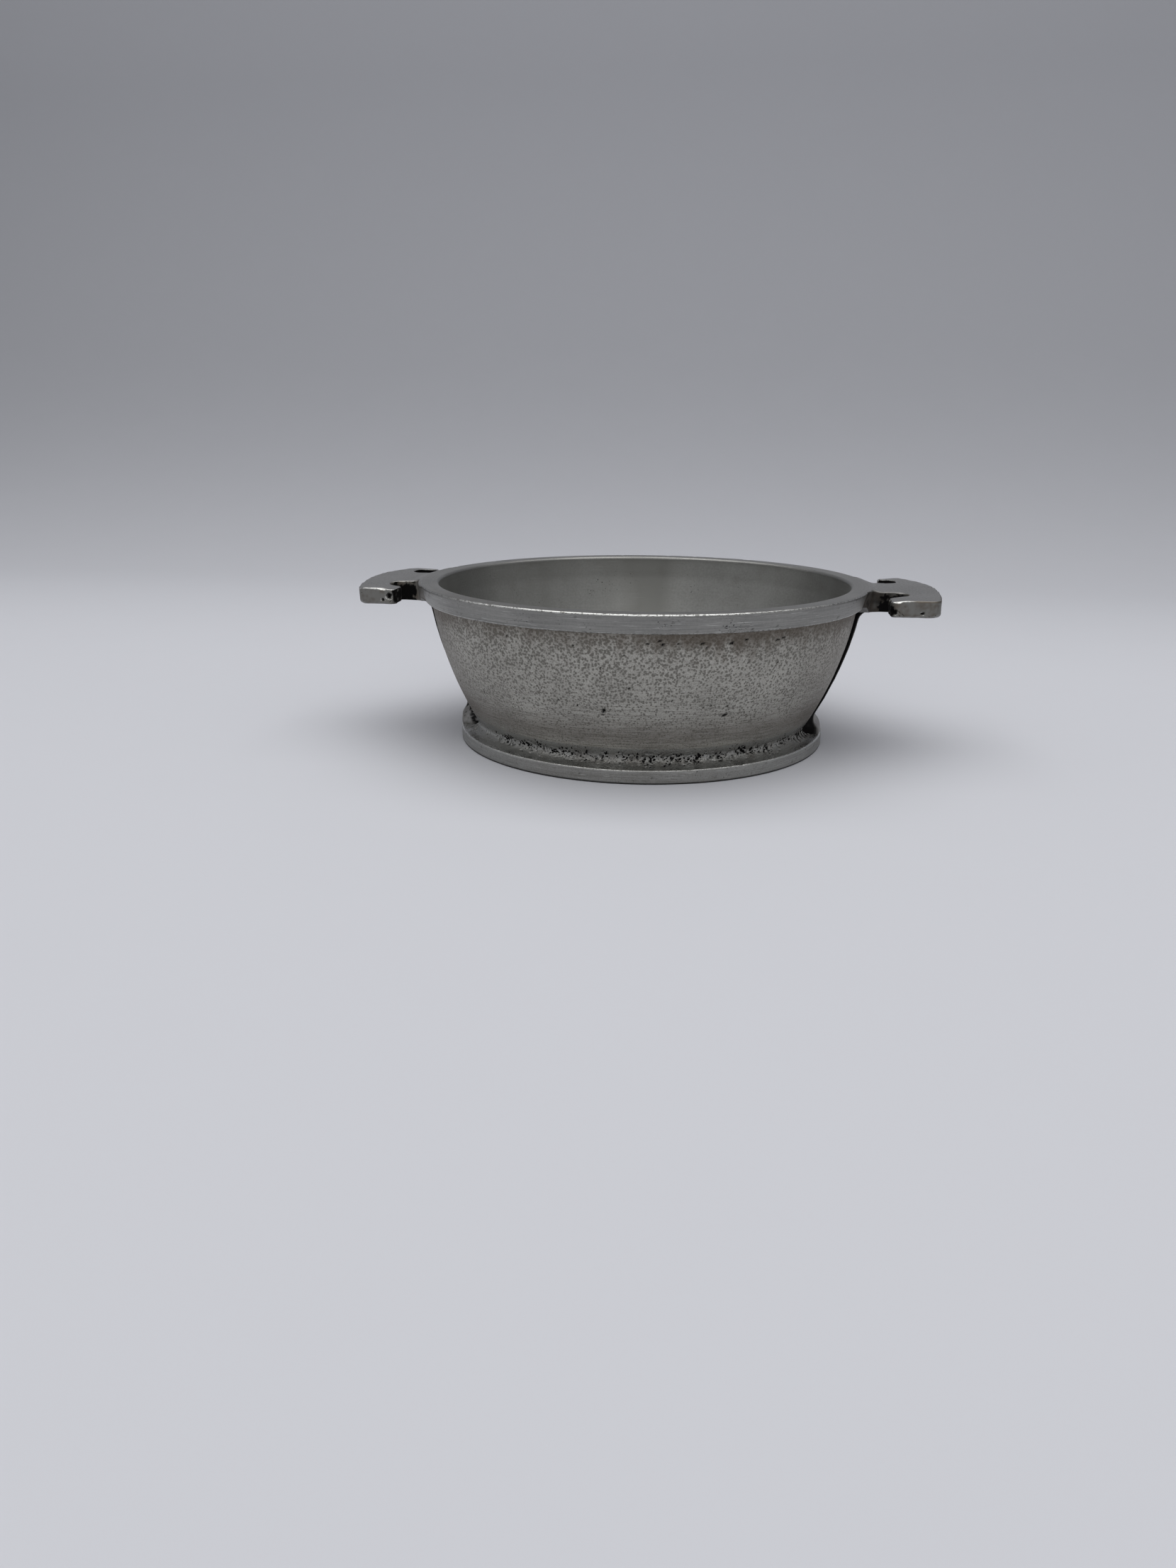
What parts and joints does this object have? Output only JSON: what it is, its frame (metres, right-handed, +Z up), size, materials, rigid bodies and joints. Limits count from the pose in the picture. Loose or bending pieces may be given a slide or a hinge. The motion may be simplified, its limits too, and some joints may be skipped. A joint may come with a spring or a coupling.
{
  "type": "cooking pot",
  "caption": "Round cast-aluminium cooking pot with a heavy turned rim and foot ring, a pebbled bulging wall and flat lug handles that hook back towards the rim, for cooking and serving.",
  "frame": {"origin": "on the bowl's axis, on the surface that the pot stands on", "axes": "+X towards one handle, along the line of both handles; +Y across the handles; +Z up out of the mouth"},
  "size_m": [0.2273, 0.178, 0.0633],
  "materials": {
    "turned_rim": "turned, satin, worn",
    "pebbled_wall": "pebbled as cast, high spots polished",
    "turned_floor": "turned, satin, darkened by use",
    "turned_foot": "turned, satin, worn",
    "cast_handle": "as cast, faces ground, dirt in the hollows",
    "cast_strap": "as cast, dark at the sides"
  },
  "bodies": {
    "root": {"rim_band": "turned_rim", "bowl_wall": "pebbled_wall", "bowl_floor": "turned_floor", "foot_ring": "turned_foot", "right_handle": "cast_handle", "left_handle": "cast_handle", "right_handle_strap": "cast_strap", "left_handle_strap": "cast_strap"}
  },
  "joints": []
}
